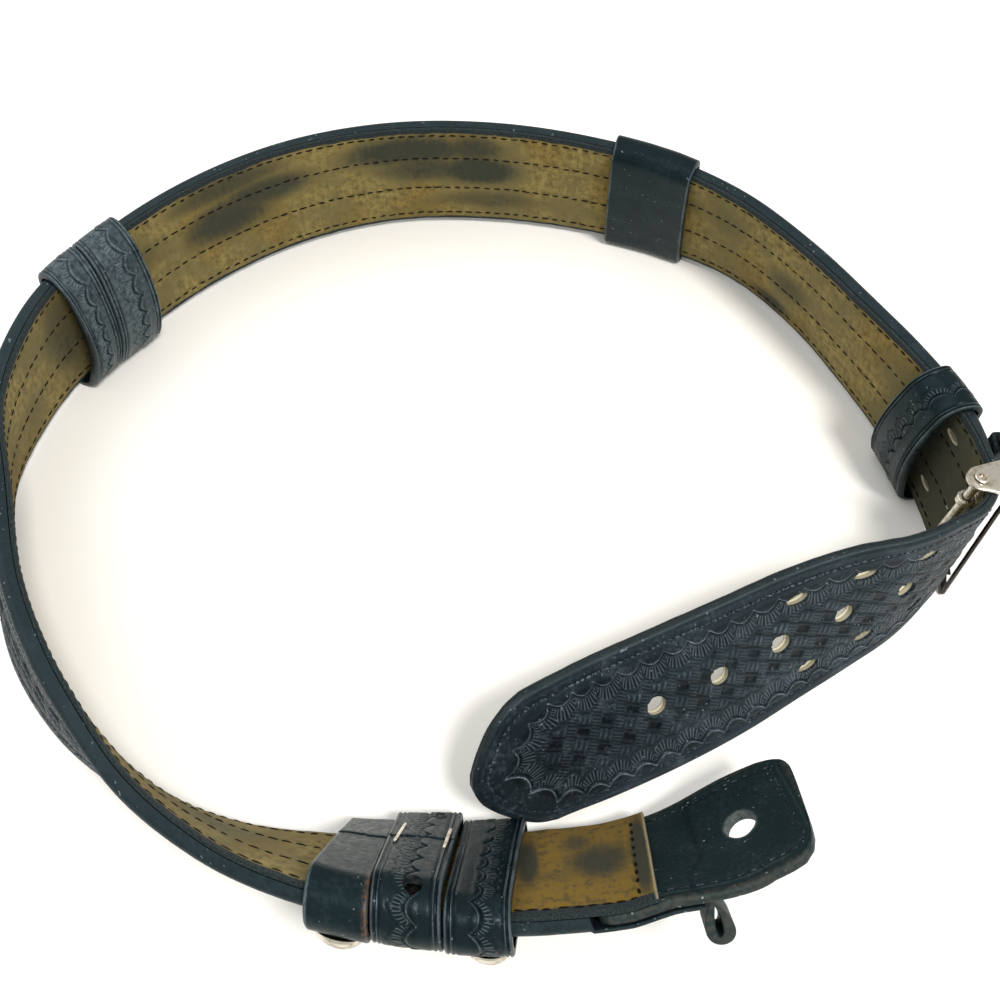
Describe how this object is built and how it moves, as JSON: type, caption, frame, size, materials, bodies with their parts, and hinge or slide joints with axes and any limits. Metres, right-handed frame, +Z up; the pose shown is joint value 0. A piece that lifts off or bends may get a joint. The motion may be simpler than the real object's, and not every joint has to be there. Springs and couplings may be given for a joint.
{
  "type": "duty belt",
  "caption": "Lined leather duty belt, basketweave tooled, buckled into a loop on its lower edge, with leather keeper bands, snaps and a nickel buckle",
  "frame": {"origin": "middle of the belt's bounding box in plan, on the surface that it lies on", "axes": "+Z up, across the strap's width; +X towards the buckle; -Y towards the free tongue and the front keepers"},
  "size_m": [0.387, 0.3428, 0.0668],
  "materials": {
    "leather": "semi-gloss, worn black",
    "suede": "matte, napped",
    "nickel": "polished, worn"
  },
  "bodies": {
    "root": {"outer_strap": "leather", "suede_lining": "suede", "tongue": "leather", "chape_strip": "leather", "keeper_front_right": "leather", "keeper_front_middle": "leather", "keeper_front_left": "leather", "keeper_left_front": "leather", "keeper_left_rear": "leather", "keeper_back": "leather", "keeper_right": "leather", "snap_front_right": "nickel", "snap_front_left": "nickel", "snap_left": "nickel", "buckle_frame": "nickel", "buckle_pin": "nickel", "buckle_prong_upper": "nickel", "buckle_prong_lower": "nickel", "buckle_tab": "leather"}
  },
  "joints": []
}
